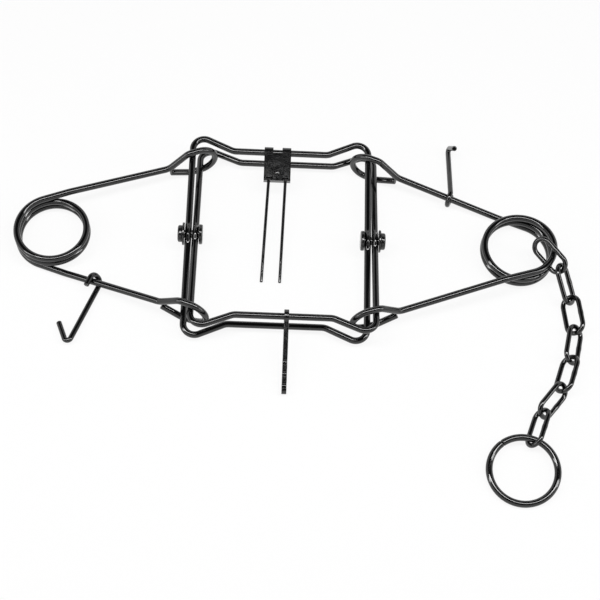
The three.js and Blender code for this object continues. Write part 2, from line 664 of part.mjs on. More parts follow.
function addChain() {
  const half = LINK_INNER_LENGTH / 2 - LINK_SLACK;
  const halfWidth = (LINK_INNER_WIDTH + LINK_WIRE) / 2;
  const lyingHeight = (roll) => {
    return floorZ + linkRadius + LINK_FLOOR_GAP + halfWidth * Math.abs(Math.sin(roll));
  };
  const direction = (heading, slope) => {
    const flat = Math.cos(slope);
    return vec(Math.cos(heading) * flat, Math.sin(heading) * flat, Math.sin(slope));
  };
  const [firstX, firstY] = FIRST_LINK_FROM_COIL;
  const first = direction(LINK_HEADINGS[0], FIRST_LINK_SLOPE);
  const start = vec(jawHalfWidth + rightSpring.coilX + firstX, firstY, FIRST_LINK_ABOVE_PIVOT);
  const hanging = start.addScaledVector(first, -half);
  LINK_HEADINGS.forEach((heading, i) => {
    const roll = LINK_ROLLS[i];
    const toEnd = Math.asin((lyingHeight(LINK_ROLLS[2]) - hanging.z) / (2 * half));
    const toMiddle = Math.asin((lyingHeight(roll) - hanging.z) / half);
    const slope = [FIRST_LINK_SLOPE, toEnd][i] ?? toMiddle;
    const along = direction(heading, slope);
    const level = vec(-Math.sin(heading), Math.cos(heading), 0);
    const lateral = level.clone().multiplyScalar(Math.cos(roll));
    lateral.addScaledVector(along.clone().cross(level), Math.sin(roll));
    const link = framed(along, lateral, hanging.clone().addScaledVector(along, half));
    link.name = "link_frame_" + (i + 1);
    place(link, "chain_link_" + (i + 1), linkGeometry());
    trap.add(link);
    hanging.addScaledVector(along, 2 * half);
    if (i === LINK_HEADINGS.length - 1) hanging.addScaledVector(along, -ringRadius);
  });
  const outward = direction(RING_HEADING, -RING_TILT);
  const across = direction(RING_HEADING + Math.PI / 2, 0);
  const ring = framed(outward, across, hanging.addScaledVector(outward, RING_RADIUS));
  ring.name = "ring_frame";
  place(ring, "anchor_ring", ringGeometry());
  trap.add(ring);
}

const jaws = addJaws();
addPivots();
addTrigger(jaws.get("jaw_trigger_side"));
addDog(jaws.get("jaw_dog_side"));
addHooks(addSprings());
addChain();

// The finished trap stands on the floor, centred over the origin
trap.updateMatrixWorld(true);
const bounds = new THREE.Box3().setFromObject(trap, true);
const middle = bounds.getCenter(vec(0, 0, 0));
trap.position.set(-middle.x, -middle.y, -floorZ);

export default trap;
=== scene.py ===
"""Looks of the body grip trap: smooth bent rod, lathed rivets and glossy black paint over the CAD frame."""

import json
import math

import bpy
import numpy as np
from mathutils import Matrix, Vector, noise


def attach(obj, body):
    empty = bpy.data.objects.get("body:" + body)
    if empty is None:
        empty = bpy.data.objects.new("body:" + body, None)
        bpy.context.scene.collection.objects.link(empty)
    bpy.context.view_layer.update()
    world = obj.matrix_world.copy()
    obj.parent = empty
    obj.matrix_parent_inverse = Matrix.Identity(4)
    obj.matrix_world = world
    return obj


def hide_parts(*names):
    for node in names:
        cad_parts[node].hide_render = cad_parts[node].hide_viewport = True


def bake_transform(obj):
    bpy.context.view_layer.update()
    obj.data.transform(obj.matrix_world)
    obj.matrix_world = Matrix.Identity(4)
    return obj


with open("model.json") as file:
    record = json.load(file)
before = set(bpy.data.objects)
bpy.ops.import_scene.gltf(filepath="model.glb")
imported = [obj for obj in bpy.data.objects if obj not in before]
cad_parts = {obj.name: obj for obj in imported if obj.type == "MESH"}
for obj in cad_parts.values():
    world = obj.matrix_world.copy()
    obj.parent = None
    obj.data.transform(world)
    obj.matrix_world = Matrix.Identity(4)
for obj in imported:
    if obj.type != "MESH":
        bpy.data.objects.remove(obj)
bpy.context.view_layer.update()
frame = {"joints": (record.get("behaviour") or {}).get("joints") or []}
joints = {j["name"]: j for j in frame["joints"]}
MM = 0.001
MM_PER_METRE = 1000
PIVOT = np.array(joints["jaw_trigger_swing"]["pos_m"]) * MM_PER_METRE

# Sizes as in the CAD part, in millimetres, and angles in radians
GAP = 0.3
ROD_DIA = 6.5
JAW_WIDTH = 175
BAR_TO_BAR = 184
BAR_FLAT_HALF = 47
CORNER_RADIUS = 11
BAR_BEND_RADIUS = 14
CORNER_SLOPE = math.radians(24)
JAW_GAP = 0.5
BOSS_DIA = 15
BOSS_PROUD = 0.1
SHANK_DIA = 8
HEAD_DIA = 16.5
HEAD_THICKNESS = 4.2
INNER_HEAD_DIA = 19.5
INNER_HEAD_THICKNESS = 3.4
WASHER_DIA = 22
WASHER_THICKNESS = 1.9
SPRING_WIRE = 6.5
COIL_RADIUS = 33.5
COIL_WHOLE_TURNS = 2
TURN_GAP = 0.75
LEG_ANGLES = {"left": math.radians(19.8), "right": math.radians(18.7)}
EYE_FROM_PIVOT = 84.5
EYE_WIDTH = 33
EYE_SPLIT = 28.5
EYE_TAPER = 21.4
EYE_BEND_OFFSET = 2.7
EYE_GAP = 0.7
TAIL_GAP = 0.8
TAIL_SETBACK = 3
LEG_LEVEL_RUN = 28
CHAIN_WEDGE = 5.6
WEDGE_START = math.radians(-10)
WEDGE_TURN = math.radians(130)
HOOK_WIRE = 5.2
HOOK_GAP = 0.5
HOOK_SHANK = 67.5
HOOK_TIP = 28
HOOK_BEND_RADIUS = 5
HOOK_POINT_RADIUS = 3.2
HOOK_TAIL = 9
HOOK_TIP_ANGLE = math.radians(42)
LEFT_HOOK = dict(eye=97, step=6.4, side=1, lean=0, droop=math.radians(-3.2))
RIGHT_HOOK = dict(eye=84, step=2.3, side=-1, lean=math.radians(15), droop=math.radians(15.95))
TRIGGER_WIDTH = 26.5
TRIGGER_CENTRE_X = -6.5
TRIGGER_SHEET = 2
TRIGGER_LENGTH = 32
KNUCKLE_SLOT = 9
KNUCKLE_SLOT_DEPTH = 4.6
KNUCKLE_WRAP = math.radians(290)
TRIGGER_FLANGE = 5
TRIGGER_WIRE = 3
TRIGGER_WIRE_SPACING = 16.6
TRIGGER_WIRE_REACH = 135
TRIGGER_WIRE_LEAN = math.radians(1.6)
TRIGGER_WIRE_SPREAD = math.radians(0.35)
CLAMP_LENGTH = 12
CLAMP_SETBACK = 1.5
CLAMP_SHEET = 1.2
TRIGGER_RIVET_DIA = 4
TRIGGER_RIVET_HEAD = 6
TRIGGER_RIVET_HEAD_HEIGHT = 1.4
DOG_THICKNESS = 4.6
DOG_CENTRE_X = 6.5
DOG_EYE_DIA = 13.4
DOG_REACH = 73
DOG_DEPTH = 8.6
DOG_NOTCH_COUNT = 3
DOG_NOTCH_PITCH = 11
DOG_NOTCH_DEPTH = 2.6
DOG_NOTCH_WIDTH = 6
LINK_WIRE = 4.8
LINK_INNER_LENGTH = 33.5
LINK_INNER_WIDTH = 12.4
RING_WIRE = 6.5
RING_RADIUS = 31.5
RING_SEAM = math.radians(237)
RING_SEAM_GAP = 0.4
FIRST_LINK_FROM_COIL = (28.57, -11.79)
FIRST_LINK_ABOVE_PIVOT = 6.14
FIRST_LINK_SLOPE = math.radians(-6.5)
LINK_HEADINGS = [math.radians(a) for a in (-50.2, -69.1, -83.7, -102.2, -108.5, -128.2, -109.7)]
LINK_ROLLS = [math.radians(a) for a in (51, -39.9, 41.8, -42.9, 45.9, -49.9, 54)]
LINK_SLACK = 0.49
LINK_FLOOR_GAP = 0.25
RING_HEADING = math.radians(-110.2)
RING_TILT = math.radians(5.8)

# How fine the meshes are: sides around, steps along, angles for each step of a bend, spacing in mm
ROD_SIDES = 28
HOOK_SIDES = 24
LINK_SIDES = 24
FEELER_SIDES = 20
HOLE_SIDES = 48
RIVET_SIDES = 64
SMALL_RIVET_SIDES = 40
EDGE_STEPS = 5
COIL_STEPS = 260
KNUCKLE_STEPS = 48
DOG_EYE_STEPS = 56
DOG_END_STEPS = 24
RING_STEPS = 150
DOME_STEPS = 8
BEND_STEP = math.radians(3)
HOOK_BEND_STEP = math.radians(5)
LINK_BEND_STEP = math.radians(6)
ROUTE_SPACING = 2.0
SAME_PLACE = 1e-4

# Small forms that only the looks have: unevenness as a share of the radius, rounded edges in mm
ROD_WOBBLE = 0.012
LINK_WOBBLE = 0.02
FEELER_WOBBLE = 0.006
WOBBLE_SCALE = 0.07
WOBBLE_OFFSET = 3.1
RIVET_LUMPS = 0.03
WASHER_LUMPS = 0.02
LUMPS_AROUND = 2.2
LUMPS_ALONG = 0.35
WIRE_END_ROUND = 0.8
WIRE_END_REACH = WIRE_END_ROUND * 1.5
WIRE_END_ANGLES = [math.radians(a) for a in (0, 30, 60, 90)]
BOSS_RUNOUT = 3.5
BOSS_FULLNESS = 1.25
WELD_SWELL = 0.11
WELD_HALF_LENGTH = 2.2
INNER_HEAD_FACE_ROUND = 1.3
INNER_HEAD_SEAT_ROUND = 0.5
HEAD_SEAT_ROUND = 0.6
HEAD_FACE_ROUND = 1.6
HEAD_FACE_START = 0.4
WASHER_ROUND = 0.45
SMALL_RIVET_ROUND = 0.5
SMALL_RIVET_START = 0.2
DOME_FROM, DOME_TO = 0.1, 1.5
PLATE_BEVEL = 0.45
CLAMP_BEVEL = 0.25
DOG_BEVEL = 0.5
BEVEL_STEPS = 3
PLATE_BEVEL_ANGLE = math.radians(35)
DOG_BEVEL_ANGLE = math.radians(40)
FLAT_FACE_WEIGHT = 100
JAW_SHARP_ANGLE = math.radians(60)
LATHE_SHARP_ANGLE = math.radians(40)

# How long cutting tools are: times the thickness that they cut, or mm beyond it
CUT_LENGTHS = 3
CUT_OVERRUN = 2

# Paint: scales are per metre of the object, bumps are in metres
BARE_STEEL = (0.07, 0.066, 0.062, 1)
CHIP_SCALE, CHIP_DETAIL, CHIP_FADE = 900, 4, 0.03
GLOSS_SCALE, GLOSS_DETAIL, GLOSS_SPREAD = 160, 3, 0.08
GLOSS_LOW, GLOSS_HIGH = 0.3, 0.7
WAVE_SCALE, SPECK_SCALE, BUMP_DETAIL = 110, 1500, 2
PAINT_SPECULAR = 0.7

# Stage, light and camera: metres, watts, and for the camera mm and pixels of the photo
FLOOR_Z = -0.0008
FLOOR_HALF = 4
WALL_HEIGHT = 3.2
WALL_SIDES = 96
STAGE_GRAIN_SCALE = 40
STAGE_DARKEST, STAGE_LIGHTEST = 0.86, 0.9
STAGE_ROUGHNESS = 0.9
STAGE_GLOW = 0.9
WORLD_STRENGTH = 0.04
LAMP_AIM = (0, 0, 0)
LAMPS = (
    dict(name="top_light", at=(0, -0.1, 1.35), width=1.6, depth=0.2, power=16),
    dict(name="left_light", at=(-1.0, -0.3, 0.9), width=0.2, depth=1.1, power=5),
    dict(name="right_light", at=(1.0, -0.2, 0.9), width=0.2, depth=1.1, power=5),
)
CAM_UP, CAM_TURN, CAM_ROLL = math.radians(62), math.radians(-3.84), math.radians(5.6)
CAM_FOCAL, CAM_FAR = 1439.55, 1371.8
CAM_AIM = np.array((19.19, -68.02, 0.0))
PHOTO_WIDTH = 600
SENSOR_WIDTH = 36

# Sizes that follow from the ones above
rod_r, spring_r, link_r, ring_r = ROD_DIA / 2, SPRING_WIRE / 2, LINK_WIRE / 2, RING_WIRE / 2
jaw_pitch = ROD_DIA + JAW_GAP
jaw_half = JAW_WIDTH / 2
bar_height = BAR_TO_BAR / 2
eye_half = EYE_WIDTH / 2
jaw_angle = math.asin((eye_half - spring_r - EYE_GAP - rod_r) / EYE_FROM_PIVOT)
coil_pitch = SPRING_WIRE + TURN_GAP
taper_end = EYE_SPLIT - EYE_TAPER
floor_z = -PIVOT[2]
bar_above = bar_height * math.sin(jaw_angle) - floor_z


class SpringSizes:
    """One spring's leg length, coil place and turn, and tilt, from the angle of its legs."""

    def __init__(self, angle):
        self.angle = angle
        self.leg = (EYE_FROM_PIVOT - COIL_RADIUS * math.cos(angle)) / math.sin(angle)
        self.coil_x = self.leg * math.cos(angle) - COIL_RADIUS * math.sin(angle)
        self.tangent = math.pi / 2 - angle
        self.turn = 2 * math.pi * COIL_WHOLE_TURNS + 2 * self.tangent
        self.half = coil_pitch * self.turn / (4 * math.pi)
        span = self.coil_x + COIL_RADIUS + spring_r - taper_end * math.cos(angle)
        self.tilt = math.atan2(eye_half - self.half, span)


SPRINGS = {side: SpringSizes(angle) for side, angle in LEG_ANGLES.items()}


# Vectors and places
def vec(*p):
    return np.array(p, float)


def unit(a):
    return a / np.linalg.norm(a)


def shift(x, y, z):
    return np.array(Matrix.Translation((x, y, z)))


def turn(axis, angle):
    return np.array(Matrix.Rotation(angle, 4, axis))


def basis(x_way, y_way, at):
    m = np.eye(4)
    m[:3, 0], m[:3, 1], m[:3, 2], m[:3, 3] = x_way, y_way, np.cross(x_way, y_way), at
    return m


def moved(m, points):
    return points @ m[:3, :3].T + m[:3, 3]


def in_metres(points):
    """Points in mm from the trap's pivot, as metres in the frame's coordinates."""
    return (points + PIVOT) * MM


def eased(t):
    return t * t * (3 - 2 * t)


SIDE_TURN = {"left": turn("Z", math.pi), "right": turn("Z", 0)}


# Looks: procedural, with fine waviness, specks and worn places
def noise_texture(tree, scale, detail):
    place = tree.nodes.new("ShaderNodeTexCoord")
    made = tree.nodes.new("ShaderNodeTexNoise")
    made.inputs["Scale"].default_value = scale
    made.inputs["Detail"].default_value = detail
    tree.links.new(place.outputs["Object"], made.inputs["Vector"])
    return made.outputs["Fac"]


def remapped(tree, value, low, high, to_low=0, to_high=1):
    span = tree.nodes.new("ShaderNodeMapRange")
    span.inputs["From Min"].default_value = low
    span.inputs["From Max"].default_value = high
    span.inputs["To Min"].default_value = to_low
    span.inputs["To Max"].default_value = to_high
    tree.links.new(value, span.inputs["Value"])
    return span.outputs["Result"]


def bumped(tree, scale, distance, under=None):
    bump = tree.nodes.new("ShaderNodeBump")
    bump.inputs["Strength"].default_value = 1
    bump.inputs["Distance"].default_value = distance
    tree.links.new(noise_texture(tree, scale, BUMP_DETAIL), bump.inputs["Height"])
    if under is not None:
        tree.links.new(under, bump.inputs["Normal"])
    return bump.outputs["Normal"]


def painted(name, base, rough, wave, speck, worn):
    """Black paint: its colour, least roughness, bump heights, and the noise level above which it is worn."""
    mat = bpy.data.materials.new(name)
    mat.use_nodes = True
    tree = mat.node_tree
    shader = tree.nodes["Principled BSDF"]
    chips = remapped(tree, noise_texture(tree, CHIP_SCALE, CHIP_DETAIL), worn, worn + CHIP_FADE)
    mix = tree.nodes.new("ShaderNodeMix")
    mix.data_type = "RGBA"
    mix.inputs["A"].default_value = (*base, 1)
    mix.inputs["B"].default_value = BARE_STEEL
    tree.links.new(chips, mix.inputs["Factor"])
    tree.links.new(mix.outputs["Result"], shader.inputs["Base Color"])
    cloudy = noise_texture(tree, GLOSS_SCALE, GLOSS_DETAIL)
    gloss = remapped(tree, cloudy, GLOSS_LOW, GLOSS_HIGH, rough, rough + GLOSS_SPREAD)
    tree.links.new(gloss, shader.inputs["Roughness"])
    waves = bumped(tree, WAVE_SCALE, wave)
    specks = bumped(tree, SPECK_SCALE, speck, waves)
    tree.links.new(specks, shader.inputs["Normal"])
    shader.inputs["Specular IOR Level"].default_value = PAINT_SPECULAR
    return mat


LOOKS = {
    "rod": painted(
        "rod_paint", base=(0.0015, 0.0015, 0.0017), rough=0.05, wave=0.00009, speck=0.000003, worn=0.77
    ),
    "plate": painted(
        "plate_paint", base=(0.0025, 0.0025, 0.0028), rough=0.14, wave=0.0001, speck=0.000005, worn=0.75
    ),
    "rivet": painted(
        "rivet_paint", base=(0.003, 0.003, 0.0033), rough=0.16, wave=0.0003, speck=0.00002, worn=0.7
    ),
}


# Objects from points in mm
def linked(name, data):
    made = bpy.data.objects.new(name, data)
    bpy.context.collection.objects.link(made)
    return made


def mesh_data(name, points, faces):
    data = bpy.data.meshes.new(name)
    data.from_pydata([tuple(p) for p in in_metres(points)], [], faces)
    return data


def mesh_object(name, points, faces, body, look, nodes, smooth=True, sharp=None):
    """A piece with its look, the CAD nodes that it stands for, and the body that it rides on."""
    data = mesh_data(name, points, faces)
    data.validate()
    made = linked(name, data)
    data.materials.append(LOOKS[look])
    if smooth:
        data.shade_smooth()
    if sharp:
        data.set_sharp_from_angle(angle=sharp)
    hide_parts(*nodes)
    if body:
        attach(made, body)
    return made


# Routes of bent wire
def rounded(corners, loop=False, step=BEND_STEP):
    """A route through corners, each a point and its bend's radius."""
    route = []
    count = len(corners)
    for i, (at, radius) in enumerate(corners):
        if not radius or (not loop and i in (0, count - 1)):
            route.append(at)
            continue
        back = unit(corners[i - 1][0] - at)
        ahead = unit(corners[(i + 1) % count][0] - at)
        opening = math.acos(np.clip(back @ ahead, -1, 1))
        bend = math.pi - opening
        centre = unit(back + ahead) * radius / math.sin(opening / 2) + at
        reach = radius / math.tan(opening / 2)
        start, end = back * reach + at - centre, ahead * reach + at - centre
        steps = max(2, math.ceil(bend / step))
        for k in range(steps + 1):
            t = k / steps
            part = start * math.sin((1 - t) * bend) + end * math.sin(t * bend)
            route.append(part / math.sin(bend) + centre)
    return route


def dense(route, loop=False):
    """The route with points added, so that none lie further apart than the spacing."""
    out = []
    pairs = zip(route, route[1:] + ([route[0]] if loop else []))
    for a, b in pairs:
        length = np.linalg.norm(b - a)
        if length < SAME_PLACE:
            continue
        steps = max(1, math.ceil(length / ROUTE_SPACING))
        out += [a + (b - a) * k / steps for k in range(steps)]
    if not loop:
        out.append(route[-1])
    return out


def way_at(before, p, after):
    """The way a route runs at p, halfway between the ways to its neighbours."""
    way = vec(0, 0, 0)
    if np.linalg.norm(p - before) > 0:
        way = way + unit(p - before)
    if np.linalg.norm(after - p) > 0:
        way = way + unit(after - p)
    return unit(way)


def rings(route, radius, up, loop=False, sides=ROD_SIDES, shape=None, wobble=ROD_WOBBLE):
    """For each point of a route: the point, the way it runs there, and a ring of offsets around it."""
    count = len(route)
    angles = np.arange(sides) * 2 * math.pi / sides
    found, normal = [], up
    for i, p in enumerate(route):
        before = route[i - 1] if loop or i else p
        after = route[(i + 1) % count] if loop or i < count - 1 else p
        way = way_at(before, p, after)
        normal = unit(normal - way * (normal @ way))
        side = np.cross(way, normal)
        a, b = shape(p) if shape else (1, 1)
        swell = 1 + wobble * noise.noise(Vector(p * WOBBLE_SCALE + WOBBLE_OFFSET))
        ring = np.outer(np.cos(angles) * a, normal) + np.outer(np.sin(angles) * b, side)
        found.append((p, way, ring * radius * swell))
    return found


def rounded_end(end, outward):
    """Rows that round off a wire's end; outward is -1 at its start and 1 at its far end."""
    p, way, ring = end
    size = np.linalg.norm(ring, axis=1).mean()
    rows = []
    for a in WIRE_END_ANGLES:
        share = 1 - WIRE_END_ROUND / size * (1 - math.cos(a))
        setback = WIRE_END_ROUND - WIRE_END_ROUND * math.sin(a)
        rows.append(p - outward * way * setback + ring * share)
    return rows if outward > 0 else rows[::-1]


def rows_in_end(end, neighbour):
    """How many rows a rounded end stands in for: its own, and the next if that lies close."""
    near = np.linalg.norm(neighbour[0] - end[0]) < WIRE_END_REACH
    return 2 if near else 1


def skin(found, loop=False, round_start=False, round_end=False):
    """Points and faces of a tube over the given rings, open where an end isn't round."""
    sides = len(found[0][2])
    rows = [p + ring for p, _, ring in found]
    tips = []
    if round_start:
        rows = rounded_end(found[0], -1) + rows[rows_in_end(found[0], found[1]) :]
        tips.append((0, found[0][0]))
    if round_end:
        rows = rows[: -rows_in_end(found[-1], found[-2])] + rounded_end(found[-1], 1)
        tips.append((len(rows) - 1, found[-1][0]))
    points = np.concatenate(rows)
    faces = []
    count = len(rows)
    for i in range(count if loop else count - 1):
        a, b = i * sides, ((i + 1) % count) * sides
        for j in range(sides):
            k = (j + 1) % sides
            faces.append((a + j, a + k, b + k, b + j))
    for row, p in tips:
        points = np.concatenate([points, [p]])
        tip = len(points) - 1
        for j in range(sides):
            k = (j + 1) % sides
            face = (tip, row * sides + k, row * sides + j)
            faces.append(face if row == 0 else face[::-1])
    return points, faces


def wire(name, route, radius, up, place, body, nodes, loop=False, **more):
    found = rings(dense(route, loop), radius, up, loop, **more)
    points, faces = skin(found, loop, not loop, not loop)
    return mesh_object(name, moved(place, points), faces, body, "rod", nodes)


# Cutting tools, and what is done with them
def cylinder(place, radius, length):
    """A cutting tool: a round bar along the place's X."""
    angles = np.arange(HOLE_SIDES) * 2 * math.pi / HOLE_SIDES
    flat = np.stack([np.cos(angles) * radius, np.sin(angles) * radius], 1)
    low = np.column_stack([np.full(HOLE_SIDES, -length / 2), flat])
    high = np.column_stack([np.full(HOLE_SIDES, length / 2), flat])
    faces = [tuple(range(HOLE_SIDES))[::-1], tuple(range(HOLE_SIDES, 2 * HOLE_SIDES))]
    for j in range(HOLE_SIDES):
        k = (j + 1) % HOLE_SIDES
        faces.append((j, k, HOLE_SIDES + k, HOLE_SIDES + j))
    return linked("cutter", mesh_data("cutter", moved(place, np.concatenate([low, high])), faces))


def block(place, low, high):
    """A cutting tool: a box between two corners."""
    pairs = list(zip(low, high))
    corners = [(x, y, z) for x in pairs[0] for y in pairs[1] for z in pairs[2]]
    faces = [(0, 1, 3, 2), (4, 6, 7, 5), (0, 4, 5, 1), (2, 3, 7, 6), (0, 2, 6, 4), (1, 5, 7, 3)]
    return linked("cutter", mesh_data("cutter", moved(place, np.array(corners, float)), faces))


def apply_steps(target, *steps):
    with bpy.context.temp_override(object=target, active_object=target):
        for step in steps:
            bpy.ops.object.modifier_apply(modifier=step.name)


def carve(target, *tools):
    for tool in tools:
        step = target.modifiers.new("cut", "BOOLEAN")
        step.operation, step.solver, step.object = "DIFFERENCE", "EXACT", tool
        apply_steps(target, step)
        bpy.data.objects.remove(tool)


def bevelled(target, width, angle=PLATE_BEVEL_ANGLE):
    step = target.modifiers.new("bevel", "BEVEL")
    step.width, step.segments, step.limit_method = width * MM, BEVEL_STEPS, "ANGLE"
    step.angle_limit = angle
    target.data.shade_smooth()
    even = target.modifiers.new("even", "WEIGHTED_NORMAL")
    even.weight = FLAT_FACE_WEIGHT
    apply_steps(target, step, even)


# Jaws: round rod, swaged flat and drilled at each pivot
def jaw_frame(sign):
    """Where a jaw lies: sign is 1 for the one with the trigger, and -1 for the one with the dog."""
    return shift(-sign * jaw_pitch / 2, 0, 0) @ turn("X", sign * jaw_angle)


JAW_PLACE = {"jaw_trigger": jaw_frame(1), "jaw_dog": jaw_frame(-1)}


def jaw_corners():
    corner_y = bar_height + (jaw_half - BAR_FLAT_HALF) * math.tan(CORNER_SLOPE)
    quarter = [(BAR_FLAT_HALF, bar_height, BAR_BEND_RADIUS), (jaw_half, corner_y, CORNER_RADIUS)]
    right = quarter + [(x, -y, r) for x, y, r in reversed(quarter)]
    left = [(-x, y, r) for x, y, r in reversed(right)]
    return [(vec(x, y, 0), r) for x, y, r in right + left]


def boss_shape(p):
    """How much broader and thicker the rod is near a pivot, where it is swaged."""
    near = eased(max(0.0, 1 - abs(p[1]) / (BOSS_DIA / 2 + BOSS_RUNOUT)))
    broad = 1 + (BOSS_DIA / ROD_DIA - 1) * min(1, BOSS_FULLNESS * near)
    return broad, 1 + 2 * BOSS_PROUD / ROD_DIA * near


def make_jaw(body, node):
    place = JAW_PLACE[body]
    route = rounded(jaw_corners(), True)
    jaw = wire(
        node + "_rod", route, rod_r, vec(0, 0, 1), place, None, [node], loop=True, shape=boss_shape
    )
    for sign in (-1, 1):
        hole = place @ shift(sign * jaw_half, 0, 0)
        carve(jaw, cylinder(hole, SHANK_DIA / 2 + GAP, ROD_DIA * CUT_LENGTHS))
    jaw.data.set_sharp_from_angle(angle=JAW_SHARP_ANGLE)
    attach(jaw, body)


# Rivets and washers, peened by hand
def lathe(name, profile, place, body, nodes, lumps, steps=RIVET_SIDES, closed=False):
    """A form turned about X from a profile of radius and place; a closed one is a ring."""
    points = []
    for i in range(steps):
        a = 2 * math.pi * i / steps
        around = (math.cos(a) * LUMPS_AROUND, math.sin(a) * LUMPS_AROUND)
        for r, x in profile:
            lump = 1 + lumps * noise.noise(Vector((*around, x * LUMPS_ALONG)))
            points.append((x, r * lump * math.cos(a), r * lump * math.sin(a)))
    n = len(profile)
    faces = []
    for i in range(steps):
        a, b = i * n, ((i + 1) % steps) * n
        for k in range(n if closed else n - 1):
            m = (k + 1) % n
            faces.append((a + k, b + k, b + m, a + m))
    if not closed:
        faces.append(tuple(i * n for i in range(steps)))
        faces.append(tuple(i * n + n - 1 for i in range(steps))[::-1])
    world = moved(place, np.array(points))
    return mesh_object(name, world, faces, body, "rivet", nodes, sharp=LATHE_SHARP_ANGLE)


def edge(r, x, way, size):
    """A quarter-round edge from the face at x out to the radius r; the face looks to the side way."""
    out = []
    for k in range(EDGE_STEPS + 1):
        a = math.pi / 2 * k / EDGE_STEPS
        out.append((r - size * (1 - math.sin(a)), x - way * size * (1 - math.cos(a))))
    return out


def rivet_profile(inner, outer):
    low = inner - INNER_HEAD_THICKNESS
    high = outer + HEAD_THICKNESS
    profile = [(HEAD_FACE_START, low)]
    profile += edge(INNER_HEAD_DIA / 2, low, -1, INNER_HEAD_FACE_ROUND)
    profile += edge(INNER_HEAD_DIA / 2, inner, 1, INNER_HEAD_SEAT_ROUND)[::-1]
    profile += [(SHANK_DIA / 2, inner), (SHANK_DIA / 2, outer)]
    profile += edge(HEAD_DIA / 2, outer, -1, HEAD_SEAT_ROUND)
    profile += edge(HEAD_DIA / 2, high, 1, HEAD_FACE_ROUND)[::-1]
    profile += [(HEAD_FACE_START, high)]
    return profile


def washer_profile(low):
    high = low + WASHER_THICKNESS
    bore = SHANK_DIA / 2 + GAP
    profile = [(bore, low)] + edge(WASHER_DIA / 2, low, -1, WASHER_ROUND)
    profile += edge(WASHER_DIA / 2, high, 1, WASHER_ROUND)[::-1]
    profile += [(bore, high)]
    return profile


def make_rivet_and_washer(side):
    stack = jaw_half + jaw_pitch / 2 + rod_r + BOSS_PROUD + GAP
    inner = jaw_half - jaw_pitch / 2 - rod_r - BOSS_PROUD - GAP
    outer = stack + WASHER_THICKNESS + GAP
    place = SIDE_TURN[side]
    lathe(
        side + "_rivet", rivet_profile(inner, outer), place, "pivots", [side + "_pivot_rivet"],
        lumps=RIVET_LUMPS,
    )
    lathe(
        side + "_washer", washer_profile(stack), place, "pivots", [side + "_pivot_washer"],
        lumps=WASHER_LUMPS, closed=True,
    )


# Springs: an arm with its eye on each leg's body, and a coil that winds between them
def spring_frame(side):
    return SIDE_TURN[side] @ shift(jaw_half, 0, 0) @ turn("Y", SPRINGS[side].tilt)


SPRING_PLACE = {side: spring_frame(side) for side in SPRINGS}
COIL_WEDGE = {"left": 0, "right": CHAIN_WEDGE}


def leg_way(sizes, sign):
    return vec(-math.cos(sizes.angle), sign * math.sin(sizes.angle), 0)


def leg_point(sizes, sign, u, z):
    """A point by one leg of a spring: u from its eye, less than 0 towards the coil, and z up."""
    return vec(0, sign * EYE_FROM_PIVOT, 0) + leg_way(sizes, sign) * u + vec(0, 0, z)


def arm_corners(sizes, sign, wedge):
    level = -sign * sizes.half + wedge
    bend = 2 * spring_r + taper_end / 2
    tip_z = TAIL_GAP / 2 - SPRING_WIRE - TAIL_GAP
    far = EYE_BEND_OFFSET + eye_half
    return [
        (leg_point(sizes, sign, TAIL_SETBACK / 2 - EYE_SPLIT, tip_z), 0),
        (leg_point(sizes, sign, -taper_end, -eye_half), bend),
        (leg_point(sizes, sign, far, -eye_half), eye_half),
        (leg_point(sizes, sign, far, eye_half), eye_half),
        (leg_point(sizes, sign, -taper_end, eye_half), bend),
        (leg_point(sizes, sign, -EYE_SPLIT, 0), bend),
        (leg_point(sizes, sign, LEG_LEVEL_RUN - sizes.leg, level), COIL_RADIUS),
        (leg_point(sizes, sign, -sizes.leg, level), 0),
    ]


def coil_route(sizes, wedge):
    """The coil's middle line; the wedge lifts its first strands to let the chain in."""
    route = []
    for k in range(1, COIL_STEPS):
        turned = sizes.turn * k / COIL_STEPS
        polar = turned - sizes.tangent
        t = min(1, max(0, (polar - WEDGE_START) / WEDGE_TURN))
        z = sizes.half - coil_pitch * turned / (2 * math.pi) + wedge * (1 - eased(t))
        route.append(vec(sizes.coil_x + COIL_RADIUS * math.cos(polar), COIL_RADIUS * math.sin(polar), z))
    return route


def make_arm(side, half, part, round_start, round_end):
    body = f"{side}_spring_{half}"
    points, faces = skin(part, False, round_start, round_end)
    world = moved(SPRING_PLACE[side], points)
    mesh_object(f"{side}_{half}_arm", world, faces, body, "rod", [body + "_half"])


def make_coil(side, part):
    place, sizes = SPRING_PLACE[side], SPRINGS[side]
    points, faces = skin(part)
    nodes = [f"{side}_spring_front_half", f"{side}_spring_rear_half"]
    made = mesh_object(side + "_coil", moved(place, points), faces, None, "rod", nodes)
    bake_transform(made)


def make_spring(side):
    sizes, wedge = SPRINGS[side], COIL_WEDGE[side]
    top, low = ("rear", "front") if side == "left" else ("front", "rear")
    arm_a = dense(rounded(arm_corners(sizes, -1, wedge)))
    arm_b = dense(rounded(arm_corners(sizes, 1, 0)))[::-1]
    coil = coil_route(sizes, wedge)
    across = np.cross(leg_way(sizes, -1), vec(0, 0, 1))
    whole = rings(arm_a + coil + arm_b, spring_r, across)
    cut_a, cut_b = len(arm_a) - 1, len(arm_a) + len(coil)
    make_arm(side, top, whole[: cut_a + 1], True, False)
    make_coil(side, whole[cut_a : cut_b + 1])
    make_arm(side, low, whole[cut_b:], False, True)


